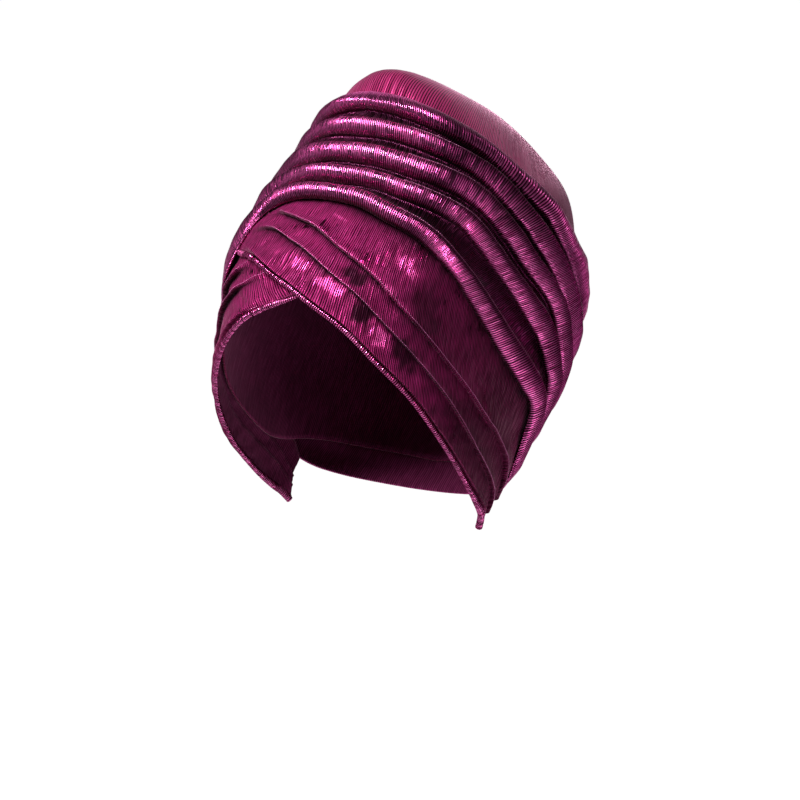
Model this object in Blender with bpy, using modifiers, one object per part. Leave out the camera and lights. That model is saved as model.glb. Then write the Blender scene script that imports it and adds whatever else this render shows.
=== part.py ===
# Turban of pleated metallic cloth in the form it has when worn, open below for the head.
# Metres, +Z up. The brow faces -Y and the wearer's left is +X.
# The origin is on the head's axis at brow height, where the head holds the turban.

import bpy
import bmesh
import numpy as np

mm = 0.001

# Size of the body that the folds and bands lie on
body_width = 176 * mm
front_reach = 97 * mm
back_reach = 157 * mm
crown_rise = 191.5 * mm
nape_drop = 72 * mm
roundness = 2.2  # 2 makes each level an ellipse, more makes it squarer

# Cloth and how it is laid
cloth = 1.2 * mm
layer_gap = 0.4 * mm
facet_room = 0.6 * mm  # what flat facets need between two curved layers
flat_fold = 4 * mm  # a fold this narrow lies flat
full_fold = 10 * mm  # and one this wide is full
fold_rise = 6.8 * mm
pleat_rise = 2.6 * mm
lip_fade = (20, 8)  # degrees past a band's end where its lift of the drape begins and is full
tuck = 5 * mm  # how far a band's upper edge runs in under the lowest fold
hem_diameter = 3.4 * mm
hem_gap = 0.8 * mm
hem_edge_rise = 0.5  # what is left of pleat_rise at the edge that meets the hem
rim_setback = 9 * mm  # how far the crown's rim stays up behind the hems

# Steps of the faceted surfaces
crown_steps = (38, 13)
crown_spread = 0.85  # under 1 sets the crown's rings further apart near the top
drape_steps = 52
left_band_steps = 24
right_band_steps = 18
left_hem_steps = 34
right_hem_steps = 26

collection_name = "turban"

# Heights in every table are shares from the lowest edge (0) to the top (1).
# Angles are degrees round the head from the brow, towards the wearer's left.


def table(columns, rows):
    values = np.array(rows, float)
    return {name: values[:, index] for index, name in enumerate(columns.split())}


# Level by level: front as a share of front_reach, widest place and back as shares of
# back_reach, half width as a share of half of body_width
levels = table(
    "height front widest back half_width",
    [
        (0.00, 0.62, 0.00, 0.26, 0.73),
        (0.08, 0.74, 0.02, 0.38, 0.83),
        (0.19, 0.91, 0.05, 0.65, 0.92),
        (0.31, 0.985, 0.11, 0.82, 1.00),
        (0.44, 0.97, 0.18, 0.955, 0.99),
        (0.575, 0.87, 0.24, 1.00, 0.95),
        (0.70, 0.59, 0.30, 0.955, 0.885),
        (0.80, 0.30, 0.31, 0.80, 0.72),
        (0.89, 0.09, 0.26, 0.59, 0.535),
        (0.955, -0.01, 0.17, 0.35, 0.335),
        (0.987, -0.075, 0.125, 0.22, 0.17),
        (0.998, -0.13, 0.11, 0.145, 0.07),
        (1.00, -0.19, 0.115, 0.115, 0.00),
    ],
)

# Upper edge of the drape on either side of the head
top_line = table(
    "angle height",
    [
        (0, 0.955), (20, 0.951), (40, 0.938), (60, 0.905), (80, 0.845), (102, 0.712),
        (116, 0.633), (131, 0.576), (143, 0.523), (152, 0.477), (162, 0.447), (180, 0.430),
    ],
)

# Stations round the drape, from the brow by the left ear, the nape and the right ear:
# where a line across the folds meets the upper and the lower edge, and how full the folds are
drape = table(
    "top_angle low_angle low_height swell",
    [
        (1.5, 4, 0.722, 1.0),
        (20, 17, 0.712, 1.0),
        (40, 29, 0.686, 1.0),
        (60, 40, 0.659, 1.0),
        (80, 49, 0.625, 1.0),
        (102, 58, 0.576, 1.0),
        (116, 66, 0.508, 1.0),
        (129, 76, 0.417, 1.0),
        (138, 87, 0.333, 1.0),
        (145, 95, 0.273, 0.9),
        (150, 99.5, 0.197, 0.6),
        (155, 104, 0.129, 0.4),
        (160, 117, 0.085, 0.2),
        (167, 136, 0.060, 0.1),
        (173, 158, 0.045, 0.0),
        (180, 180, 0.040, 0.0),
        (187, 202, 0.045, 0.0),
        (193, 224, 0.058, 0.1),
        (200, 243, 0.080, 0.2),
        (205, 257, 0.115, 0.3),
        (210, 263, 0.165, 0.5),
        (215, 271, 0.220, 0.5),
        (222, 284, 0.280, 0.5),
        (231, 300, 0.385, 0.5),
        (244, 313, 0.490, 0.55),
        (259, 323, 0.570, 0.6),
        (281, 329, 0.640, 0.7),
        (302, 335, 0.680, 0.8),
        (323, 343, 0.705, 0.9),
        (343, 353, 0.720, 1.0),
    ],
)

# Grooves between the five folds, as shares of the way down a line across them
grooves = table(
    "top_angle first second third fourth",
    [
        (0, 0.18, 0.42, 0.65, 0.83),
        (40, 0.21, 0.41, 0.63, 0.80),
        (102, 0.22, 0.40, 0.57, 0.75),
        (129, 0.31, 0.48, 0.60, 0.76),
        (145, 0.37, 0.58, 0.71, 0.84),
        (180, 0.25, 0.45, 0.64, 0.82),
    ],
)

# Across a fold from its upper groove to its lower one, and its rise as a share of fold_rise.
# The first fold grows out of the crown; the others are rolls that lean over the groove below.
first_roll = [(0.00, 0.00), (0.16, 0.22), (0.40, 0.50), (0.66, 0.72), (0.90, 0.68), (1.02, 0.42)]
roll = [(0.00, 0.00), (0.09, 0.46), (0.30, 0.86), (0.58, 1.00), (0.87, 0.84), (1.03, 0.42)]

# Stations along the bands that cross at the brow, from the hidden end to the tip behind the
# ear: the line of the upper edge, the line of the hem, the two pleat edges between as shares
# of the way down, how full the pleats are, and the band layers that lie under this one
left_band = table(
    "top_angle top_height hem_angle hem_height pleat_1 pleat_2 swell layers",
    [
        (-33, 0.676, -36, 0.606, 0.10, 0.50, 0.00, 1.5),
        (-24, 0.690, -30, 0.607, 0.08, 0.48, 0.20, 1.5),
        (-8, 0.720, -17, 0.602, 0.26, 0.52, 0.90, 1.4),
        (8, 0.723, -4, 0.576, 0.36, 0.60, 1.00, 1.2),
        (22, 0.701, 8, 0.540, 0.42, 0.64, 1.00, 1.0),
        (36, 0.670, 22, 0.487, 0.45, 0.67, 1.00, 0.6),
        (49, 0.627, 34, 0.417, 0.50, 0.71, 1.00, 0.2),
        (60, 0.561, 45, 0.348, 0.53, 0.73, 1.00, 0.0),
        (70, 0.477, 56, 0.267, 0.52, 0.73, 1.00, 0.0),
        (80, 0.386, 66, 0.197, 0.50, 0.73, 1.00, 0.0),
        (91, 0.305, 74, 0.140, 0.45, 0.72, 1.00, 0.0),
        (97.5, 0.235, 82, 0.091, 0.42, 0.71, 0.90, 0.0),
        (102, 0.159, 89, 0.057, 0.40, 0.70, 0.70, 0.0),
        (106, 0.102, 97, 0.015, 0.38, 0.70, 0.50, 0.0),
    ],
)
right_band = table(
    "top_angle top_height hem_angle hem_height pleat_1 pleat_2 swell layers",
    [
        (4, 0.667, 16, 0.576, 0.30, 0.62, 0.00, 0.0),
        (-12, 0.659, 6.5, 0.547, 0.34, 0.62, 0.00, 0.0),
        (-26, 0.636, -6, 0.515, 0.35, 0.60, 0.30, 0.0),
        (-37, 0.583, -18, 0.479, 0.28, 0.53, 1.00, 0.0),
        (-46, 0.515, -31, 0.415, 0.21, 0.49, 1.00, 0.0),
        (-55, 0.439, -42, 0.341, 0.22, 0.49, 1.00, 0.0),
        (-65, 0.356, -52, 0.258, 0.24, 0.50, 1.00, 0.0),
        (-77, 0.273, -63, 0.174, 0.26, 0.52, 1.00, 0.0),
        (-90, 0.205, -76, 0.102, 0.28, 0.54, 0.90, 0.0),
        (-99, 0.136, -87, 0.053, 0.30, 0.56, 0.70, 0.0),
        (-105, 0.083, -97, 0.015, 0.32, 0.60, 0.50, 0.0),
    ],
)

# Row of its band's table where each hem comes out from under the other layers
left_hem_start = 1.0
right_hem_start = 1.35

# Across a pleat from where it comes out to its own edge, and its rise as a share of pleat_rise
pleat = [(0.00, 0.00), (0.42, 0.40), (0.86, 1.00), (1.01, 0.72)]

# Where the crown's rim runs behind the bands and the drape, round the left half of the head
rim = table(
    "angle height",
    [
        (0, 0.60), (22, 0.54), (38, 0.455), (56, 0.315), (72, 0.21), (90, 0.12), (112, 0.10),
        (145, 0.075), (180, 0.06),
    ],
)

colours = {
    "crown": (0.300, 0.028, 0.115),
    "drape": (0.230, 0.016, 0.085),
    "front_band_left": (0.250, 0.017, 0.085),
    "front_band_right": (0.210, 0.018, 0.080),
    "hem_left": (0.330, 0.020, 0.120),
    "hem_right": (0.200, 0.014, 0.070),
}


# Smooth curve through rows of values (Catmull-Rom) at place 0 .. last row
def smooth(values, place, closed=False):
    values = np.asarray(values, float)
    count = len(values)
    place = np.asarray(place, float)
    if closed:
        index = np.floor(place).astype(int)
        before, start, end, after = (values[(index + step) % count] for step in (-1, 0, 1, 2))
    else:
        place = np.clip(place, 0, count - 1)
        index = np.clip(np.floor(place).astype(int), 0, count - 2)
        ends = np.concatenate([[2 * values[0] - values[1]], values, [2 * values[-1] - values[-2]]])
        before, start, end, after = (ends[index + step] for step in (0, 1, 2, 3))
    part = place - index
    straight = end - before
    bend = 2 * before - 5 * start + 4 * end - after
    twist = 3 * start - before - 3 * end + after
    return start + 0.5 * part * (straight + part * (bend + part * twist))


# Smooth value of a column where a column that rises row by row has a given value
def read(rows, column, key, value):
    return smooth(rows[column], np.interp(value, rows[key], np.arange(len(rows[key]))))


level_places = np.linspace(0, len(levels["height"]) - 1, 600)
level_heights = smooth(levels["height"], level_places)


def level_of(height):
    return np.interp(height, level_heights, level_places)


# Point of the bare body at an angle and a place in the table of levels
def body_point(angle, place):
    turn = np.radians(angle)
    half_width = smooth(levels["half_width"], place) * body_width / 2
    front = -smooth(levels["front"], place) * front_reach
    widest = smooth(levels["widest"], place) * back_reach
    back = smooth(levels["back"], place) * back_reach
    rise = smooth(levels["height"], place) * (nape_drop + crown_rise) - nape_drop
    sine = np.sign(np.sin(turn)) * np.abs(np.sin(turn)) ** (2 / roundness)
    cosine = np.sign(np.cos(turn)) * np.abs(np.cos(turn)) ** (2 / roundness)
    reach = np.where(cosine > 0, widest - front, back - widest)
    x, y, z = np.broadcast_arrays(half_width * sine, widest - reach * cosine, rise)
    return np.stack([x, y, z], -1)


# Point lifted off the body along its outward normal
def lifted(angle, place, lift):
    step = 0.02
    last = len(levels["height"]) - 1
    round_head = body_point(angle + step, place) - body_point(angle - step, place)
    upward = body_point(angle, np.minimum(place + step, last)) - body_point(angle, place - step)
    normal = np.cross(round_head, upward)
    normal /= np.linalg.norm(normal, axis=-1, keepdims=True)
    return body_point(angle, place) + normal * np.asarray(lift)[..., None]


# Lift of the outer face of a sheet that has this many layers under it
def outer_lift(layers):
    return layer_gap + facet_room + cloth + layers * (cloth + layer_gap)


# A fold's point across and its rise: the narrower the fold, the flatter and more even it is
def fold_shape(profile, index, fullness):
    even = index / len(profile)
    across, rise = profile[index]
    return even + (across - even) * fullness, rise * fullness


def fullness_of(width, swell):
    return swell * np.clip((width - flat_fold) / (full_fold - flat_fold), 0, 1)


# Angles of the closed loop of stations run on past a full turn
def drape_column(name, place):
    count = len(drape[name])
    if not name.endswith("angle"):
        return smooth(drape[name], place, closed=True)
    turned = 360 * np.arange(count) / count
    return smooth(drape[name] - turned, place, closed=True) + 360 * place / count


def side_of(angle):
    return (np.asarray(angle) + 180) % 360 - 180


# Layers of band under the drape's lower edge at an angle, fading out past the bands' ends
def layers_under(angle):
    side = side_of(angle)
    under = 0 * side
    for band, turn in ((left_band, side), (right_band, -side)):
        ends = band["top_angle"] if band is left_band else -band["top_angle"]
        stops = np.concatenate([ends[0] - np.array(lip_fade), ends, [ends[-1] + lip_fade[0]]])
        layers = np.concatenate([[0, 1 + band["layers"][0]], 1 + band["layers"], [0]])
        under = np.maximum(under, np.interp(turn, stops, layers, left=0, right=0))
    return under


# The drape's cross lines at places along its stations: ends, length and groove shares
def drape_lines(place):
    top_angle, low_angle = drape_column("top_angle", place), drape_column("low_angle", place)
    side = np.abs(side_of(top_angle))
    top_height = read(top_line, "height", "angle", side)
    low_height = drape_column("low_height", place)
    between = [read(grooves, name, "top_angle", side) for name in ("first", "second", "third", "fourth")]
    shares = [0 * place, *between, 0 * place + 1]
    span = body_point(low_angle, level_of(low_height)) - body_point(top_angle, level_of(top_height))
    return (top_angle, top_height), (low_angle, low_height), np.linalg.norm(span, axis=-1), shares


def drape_rows(place):
    top, low, length, shares = drape_lines(place)
    swell = drape_column("swell", place)
    lip = layers_under(low[0]) * (cloth + layer_gap)
    rows = []
    for fold in range(5):
        profile = first_roll if fold == 0 else roll
        start, width = shares[fold], shares[fold + 1] - shares[fold]
        fullness = fullness_of(width * length, swell)
        for index in range(len(profile)):
            across, rise = fold_shape(profile, index, fullness)
            rows.append((start + width * across, fold_rise * rise + (lip * across if fold == 4 else 0)))
    rows.append((shares[5], lip))
    points = []
    for share, lift in rows:
        angle = top[0] + (low[0] - top[0]) * share
        height = top[1] + (low[1] - top[1]) * share
        points.append(lifted(angle, level_of(height), outer_lift(0) + lift))
    return points


# Points of a band's upper line and hem line at a place along its stations
def band_lines(band, place):
    top = (smooth(band["top_angle"], place), smooth(band["top_height"], place))
    hem = (smooth(band["hem_angle"], place), smooth(band["hem_height"], place))
    span = body_point(hem[0], level_of(hem[1])) - body_point(top[0], level_of(top[1]))
    return top, hem, np.linalg.norm(span, axis=-1)


# Rows across a band: tucked edge, three pleats and the edge that meets the hem
def band_rows(band, place):
    top, hem, length = band_lines(band, place)
    first, second = smooth(band["pleat_1"], place), smooth(band["pleat_2"], place)
    swell, layers = smooth(band["swell"], place), smooth(band["layers"], place)
    end = 1 - (hem_diameter / 2 + hem_gap) / length
    edges = [0 * place, first, second, end]
    rows = [(-tuck / length, 0)]
    for upper, lower in zip(edges[:-1], edges[1:]):
        fullness = fullness_of((lower - upper) * length, swell)
        for index in range(len(pleat)):
            across, rise = fold_shape(pleat, index, fullness)
            rows.append((upper + (lower - upper) * across, pleat_rise * rise))
    rows[-1] = (end, pleat_rise * hem_edge_rise * swell)
    points = []
    for share, lift in rows:
        angle = top[0] + (hem[0] - top[0]) * share
        height = top[1] + (hem[1] - top[1]) * share
        points.append(lifted(angle, level_of(height), outer_lift(layers) + lift))
    return points


def material(name):
    made = bpy.data.materials.new(name)
    made.use_nodes = True
    shader = made.node_tree.nodes["Principled BSDF"]
    shader.inputs["Base Color"].default_value = (*colours[name], 1)
    shader.inputs["Metallic"].default_value = 0.75
    shader.inputs["Roughness"].default_value = 0.38
    return made


def add_object(name, mesh):
    made = bpy.data.objects.new(name, mesh)
    made.data.materials.append(material(name))
    parts.objects.link(made)
    return made


# Grid of points (columns round the head, rows from top to bottom) as a cloth wall
def cloth_object(name, points, closed=False):
    columns, rows = points.shape[:2]
    shape = bmesh.new()
    bmesh.ops.create_grid(shape, x_segments=columns - 1, y_segments=rows - 1, size=0.5)
    for corner in shape.verts:
        column = round((corner.co.x + 0.5) * (columns - 1))
        row = round((0.5 - corner.co.y) * (rows - 1))
        corner.co = points[column, row]
    if closed:
        bmesh.ops.remove_doubles(shape, verts=shape.verts, dist=0.01 * mm)
    mesh = bpy.data.meshes.new(name)
    shape.to_mesh(mesh)
    shape.free()
    mesh.shade_smooth()
    thicken(add_object(name, mesh))


def thicken(sheet):
    wall = sheet.modifiers.new("wall", "SOLIDIFY")
    wall.thickness = cloth
    wall.offset = -1
    wall.use_rim = True


# Smooth cap from the top down to its rim: a sphere whose corners are moved to the body
def make_crown():
    segments, rings = crown_steps
    shape = bmesh.new()
    bmesh.ops.create_uvsphere(shape, u_segments=segments, v_segments=rings + 1, radius=1)
    lowest = min(corner.co.z for corner in shape.verts)
    bmesh.ops.delete(shape, geom=[c for c in shape.verts if c.co.z < lowest + 1e-4], context="VERTS")
    last = len(levels["height"]) - 1
    for corner in shape.verts:
        angle = np.degrees(np.arctan2(corner.co.x, -corner.co.y))
        down = np.arccos(np.clip(corner.co.z, -1, 1)) / np.pi * (rings + 1) / rings
        rim_height = read(rim, "height", "angle", abs(angle)) + rim_setback / (nape_drop + crown_rise)
        place = last - (last - level_of(rim_height)) * down ** crown_spread
        corner.co = body_point(angle, place)
    mesh = bpy.data.meshes.new("crown")
    shape.to_mesh(mesh)
    shape.free()
    mesh.shade_smooth()
    thicken(add_object("crown", mesh))


def make_drape():
    places = np.linspace(0, len(drape["swell"]), drape_steps + 1)
    cloth_object("drape", np.stack(drape_rows(places), 1), closed=True)


def make_band(name, band, steps):
    places = np.linspace(0, len(band["swell"]) - 1, steps + 1)
    columns = np.stack(band_rows(band, places), 1)
    leftward = band["top_angle"][-1] > band["top_angle"][0]
    cloth_object(name, columns if leftward else columns[::-1])


# Rolled hem: a round cord of cloth along the band's lower line
def make_hem(name, band, start, steps):
    places = np.linspace(start, len(band["swell"]) - 1, steps + 1)
    _, hem, _ = band_lines(band, places)
    layers = smooth(band["layers"], places)
    lift = outer_lift(layers) - cloth + hem_diameter / 2
    points = lifted(hem[0], level_of(hem[1]), lift)
    line = bpy.data.curves.new(name, "CURVE")
    line.dimensions = "3D"
    line.bevel_depth = hem_diameter / 2
    line.bevel_resolution = 2
    line.use_fill_caps = True
    spline = line.splines.new("POLY")
    spline.points.add(len(points) - 1)
    for place, point in zip(spline.points, points):
        place.co = (*point, 1)
    add_object(name, line)


for old in list(bpy.data.objects):
    bpy.data.objects.remove(old)
parts = bpy.data.collections.new(collection_name)
bpy.context.scene.collection.children.link(parts)

make_crown()
make_drape()
make_band("front_band_left", left_band, left_band_steps)
make_band("front_band_right", right_band, right_band_steps)
make_hem("hem_left", left_band, left_hem_start, left_hem_steps)
make_hem("hem_right", right_band, right_hem_start, right_hem_steps)
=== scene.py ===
import math

import bmesh
import bpy
import numpy as np
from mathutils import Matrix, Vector


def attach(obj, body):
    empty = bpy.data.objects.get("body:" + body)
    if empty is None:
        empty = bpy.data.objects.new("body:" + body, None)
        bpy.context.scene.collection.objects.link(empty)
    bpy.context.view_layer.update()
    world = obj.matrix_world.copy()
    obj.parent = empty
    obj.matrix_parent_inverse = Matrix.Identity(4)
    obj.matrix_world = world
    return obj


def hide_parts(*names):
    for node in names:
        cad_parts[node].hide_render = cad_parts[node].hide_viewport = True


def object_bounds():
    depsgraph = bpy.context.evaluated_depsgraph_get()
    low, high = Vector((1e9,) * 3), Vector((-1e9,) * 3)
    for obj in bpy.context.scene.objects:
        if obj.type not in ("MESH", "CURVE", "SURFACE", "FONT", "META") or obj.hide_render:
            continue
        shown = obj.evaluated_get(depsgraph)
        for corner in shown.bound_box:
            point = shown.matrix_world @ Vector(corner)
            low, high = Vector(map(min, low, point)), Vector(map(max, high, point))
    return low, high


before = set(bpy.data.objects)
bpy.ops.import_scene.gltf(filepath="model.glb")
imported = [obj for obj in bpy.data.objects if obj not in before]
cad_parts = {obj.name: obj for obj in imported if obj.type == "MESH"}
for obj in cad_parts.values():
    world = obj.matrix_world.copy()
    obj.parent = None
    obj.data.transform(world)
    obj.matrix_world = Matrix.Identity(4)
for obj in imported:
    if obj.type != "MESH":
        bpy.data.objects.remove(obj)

mm = 0.001
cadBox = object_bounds()
rootBody = "root"


# a short table: one list for each named column
def table(columns, rows):
    values = np.array(rows, float)
    return {name: values[:, index] for index, name in enumerate(columns.split())}


# heights are shares from the lowest edge (0) to the top (1),
# angles are degrees round the head from the brow towards the wearer's left
bodyForm = {
    "width": 176 * mm,
    "frontReach": 97 * mm,
    "backReach": 157 * mm,
    "crownRise": 191.5 * mm,
    "napeDrop": 72 * mm,
    "roundness": 2.2,  # 2 makes each level an ellipse, more makes it squarer
}
levels = table(
    "height front widest back halfWidth",
    [
        (0.00, 0.62, 0.00, 0.26, 0.73),
        (0.08, 0.74, 0.02, 0.38, 0.83),
        (0.19, 0.91, 0.05, 0.65, 0.92),
        (0.31, 0.985, 0.11, 0.82, 1.00),
        (0.44, 0.97, 0.18, 0.955, 0.99),
        (0.575, 0.87, 0.24, 1.00, 0.95),
        (0.70, 0.59, 0.30, 0.955, 0.885),
        (0.80, 0.30, 0.31, 0.80, 0.72),
        (0.89, 0.09, 0.26, 0.59, 0.535),
        (0.955, -0.01, 0.17, 0.35, 0.335),
        (0.987, -0.075, 0.125, 0.22, 0.17),
        (0.998, -0.13, 0.11, 0.145, 0.07),
        (1.00, -0.186, 0.115, 0.115, 0.00),
    ],
)

# how the layers of cloth lie on the body
lay = {
    "cloth": 1.2 * mm,
    "gap": 0.4 * mm,
    "room": 0.2 * mm,
    "flatFold": 4 * mm,  # a fold this narrow lies flat
    "fullFold": 10 * mm,  # and one this wide is full
    "foldRise": 8.2 * mm,
    "pleatRise": 3.4 * mm,
    "tuck": 5 * mm,
    "hemDiameter": 3.4 * mm,
    "hemGap": 0.2 * mm,
    "lipFade": (20, 8),
}


# smooth curve through rows of values (Catmull-Rom) at place 0 .. last row
def smooth(values, place, closed=False):
    values = np.asarray(values, float)
    count = len(values)
    place = np.asarray(place, float)
    if closed:
        index = np.floor(place).astype(int)
        before, start, end, after = (values[(index + step) % count] for step in (-1, 0, 1, 2))
    else:
        place = np.clip(place, 0, count - 1)
        index = np.clip(np.floor(place).astype(int), 0, count - 2)
        ends = np.concatenate([[2 * values[0] - values[1]], values, [2 * values[-1] - values[-2]]])
        before, start, end, after = (ends[index + step] for step in (0, 1, 2, 3))
    part = place - index
    part = part.reshape(part.shape + (1,) * (values.ndim - 1))
    bend = 2 * before - 5 * start + 4 * end - after
    twist = 3 * start - before - 3 * end + after
    return start + 0.5 * part * (end - before + part * (bend + part * twist))


# smooth value of a column where a column that rises row by row has a given value
def read(rows, column, key, value):
    return smooth(rows[column], np.interp(value, rows[key], np.arange(len(rows[key]))))


levelPlaces = np.linspace(0, len(levels["height"]) - 1, 1200)
levelHeights = smooth(levels["height"], levelPlaces)


def levelOf(height):
    return np.interp(height, levelHeights, levelPlaces)


def bodyPoint(angle, place):
    turn = np.radians(angle)
    halfWidth = smooth(levels["halfWidth"], place) * bodyForm["width"] / 2
    front = -smooth(levels["front"], place) * bodyForm["frontReach"]
    widest = smooth(levels["widest"], place) * bodyForm["backReach"]
    back = smooth(levels["back"], place) * bodyForm["backReach"]
    rise = smooth(levels["height"], place) * (bodyForm["napeDrop"] + bodyForm["crownRise"])
    power = 2 / bodyForm["roundness"]
    sine = np.sign(np.sin(turn)) * np.abs(np.sin(turn)) ** power
    cosine = np.sign(np.cos(turn)) * np.abs(np.cos(turn)) ** power
    reach = np.where(cosine > 0, widest - front, back - widest)
    x, y, z = np.broadcast_arrays(halfWidth * sine, widest - reach * cosine, rise - bodyForm["napeDrop"])
    return np.stack([x, y, z], -1)


# point lifted off the body along its outward normal
def lifted(angle, place, lift):
    step = 0.02
    last = len(levels["height"]) - 1
    roundHead = bodyPoint(angle + step, place) - bodyPoint(angle - step, place)
    upward = bodyPoint(angle, np.minimum(place + step, last)) - bodyPoint(angle, place - step)
    normal = np.cross(roundHead, upward)
    normal /= np.maximum(np.linalg.norm(normal, axis=-1, keepdims=True), 1e-12)
    return bodyPoint(angle, place) + normal * np.asarray(lift)[..., None]


# lift of the outer face of a sheet that has this many layers under it
def outerLift(layers):
    return lay["gap"] + lay["room"] + lay["cloth"] + layers * (lay["cloth"] + lay["gap"])


def foldFullness(width, swell):
    return swell * np.clip((width - lay["flatFold"]) / (lay["fullFold"] - lay["flatFold"]), 0, 1)


# soft unevenness of hand-laid cloth, about -1 to 1: waves of unlike length that cross each other
def unevenness(along, across, seed):
    draw = np.random.default_rng(seed)
    total = 0
    for wave in range(6):
        lengthAlong, lengthAcross = draw.uniform(0.5, 1.6), draw.uniform(0.6, 2.2)
        turn, shift = draw.uniform(-0.5, 0.5), draw.uniform(0, 2 * math.pi)
        total = total + np.sin(2 * math.pi * (along / lengthAlong + (across + turn * along) / lengthAcross) + shift)
    return total / 3.5


# materials


def linear(code):
    parts = [int(code[i : i + 2], 16) / 255 for i in (1, 3, 5)]
    return tuple(p / 12.92 if p < 0.04045 else ((p + 0.055) / 1.055) ** 2.4 for p in parts) + (1,)


# adds a node with its settings and links: settings name sockets or properties, links name sockets
def node(tree, kind, settings=None, links=None):
    made = tree.nodes.new(kind)
    for key, value in (settings or {}).items():
        if isinstance(key, str) and hasattr(made, key):
            setattr(made, key, value)
        else:
            made.inputs[key].default_value = value
    for key, source in (links or {}).items():
        tree.links.new(source, made.inputs[key])
    return made


# Lamé jersey pressed into fine irregular crystal pleats: knitted cloth under a thin foil.
# The eye gets fine dark lines a pleat apart, painted as shade in the grooves, foil that flashes
# in broken strokes across the pleats where it faces a lamp, and near black between the folds, painted shade.
lameLook = {
    "pleatPitch": 1.30,  # mm
    "pleatWander": 0.5,  # mm that a pleat strays sideways
    "streakWidth": 1.2,  # mm
    "streakLength": 13.0,  # mm
    "crinkleSize": 13.0,  # mm, soft dents that break up the foil's shine
    "pleatDepth": 0.32,  # mm
    "crinkleDepth": 0.70,  # mm
    "grainDepth": 0.02,  # mm
    "foilSize": 24.0,  # mm, patches of whole foil, near black between its flashes
    "foilCover": 0.0,  # share of the cloth where the foil is whole
    "foilTone": 1.0,
    "paintedHighlight": "#fa5cb2",  # painted highlight: colour laid on the brightest patches of foil
    "flashFoil": 0.45,  # how far such a patch goes over from matt cloth to whole foil
    "mattTone": 0.85,
    "mattEdge": 0.0,  # mm from the sheet's upper edge where the foil is worn off
    "edgePaintedLight": 1.0,  # painted light: how much lighter the worn cloth is painted there
    "readsPaintedShading": False,  # whether the sheet's own attribute paints shade and light into its colour and marks painted highlight patches
    "foilRough": 0.22,
    "mattRough": 0.46,
    "mattMetal": 0.50,
    "sheen": 0.0,
}


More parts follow.
